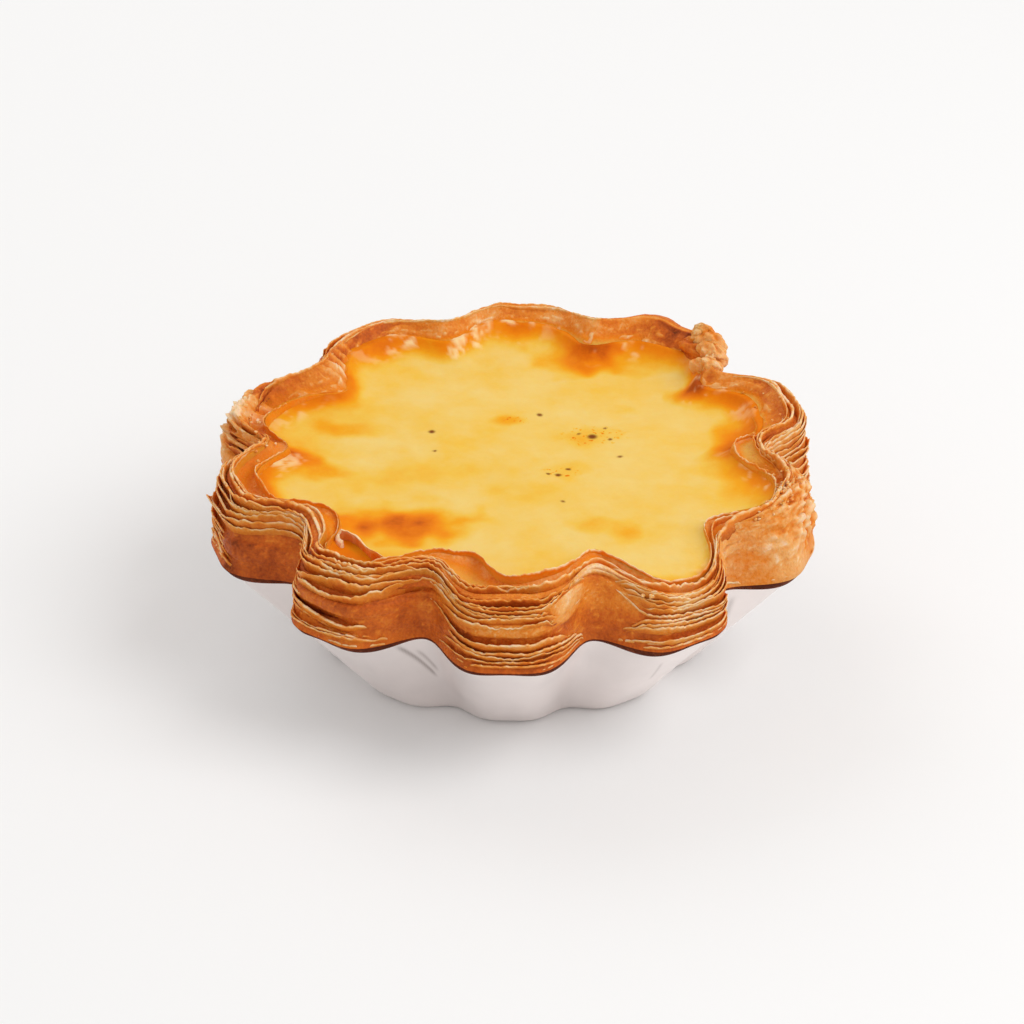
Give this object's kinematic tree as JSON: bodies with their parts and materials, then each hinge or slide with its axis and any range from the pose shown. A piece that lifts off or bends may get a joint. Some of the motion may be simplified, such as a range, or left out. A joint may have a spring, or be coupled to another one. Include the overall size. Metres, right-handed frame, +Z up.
{
  "type": "cheese tart",
  "caption": "Baked cheese tart: a flaky puff-pastry case with a wavy rim round a pale yellow cheese custard, in its fluted metal tin.",
  "frame": {"origin": "centre of the tin's flat base, on the surface it stands on", "axes": "+Z up through the middle of the tart; one flute of the tin points along -Y, the side seen from the front"},
  "size_m": [0.0786, 0.0808, 0.0311],
  "materials": {
    "tin_plate": "satin bare metal",
    "baked_pastry": "baked puff pastry, dry and slightly glossy where it is buttery",
    "set_custard": "smooth set custard, satin, with browned patches"
  },
  "bodies": {
    "root": {"tin": "tin_plate", "crust": "baked_pastry", "custard": "set_custard"}
  },
  "joints": []
}
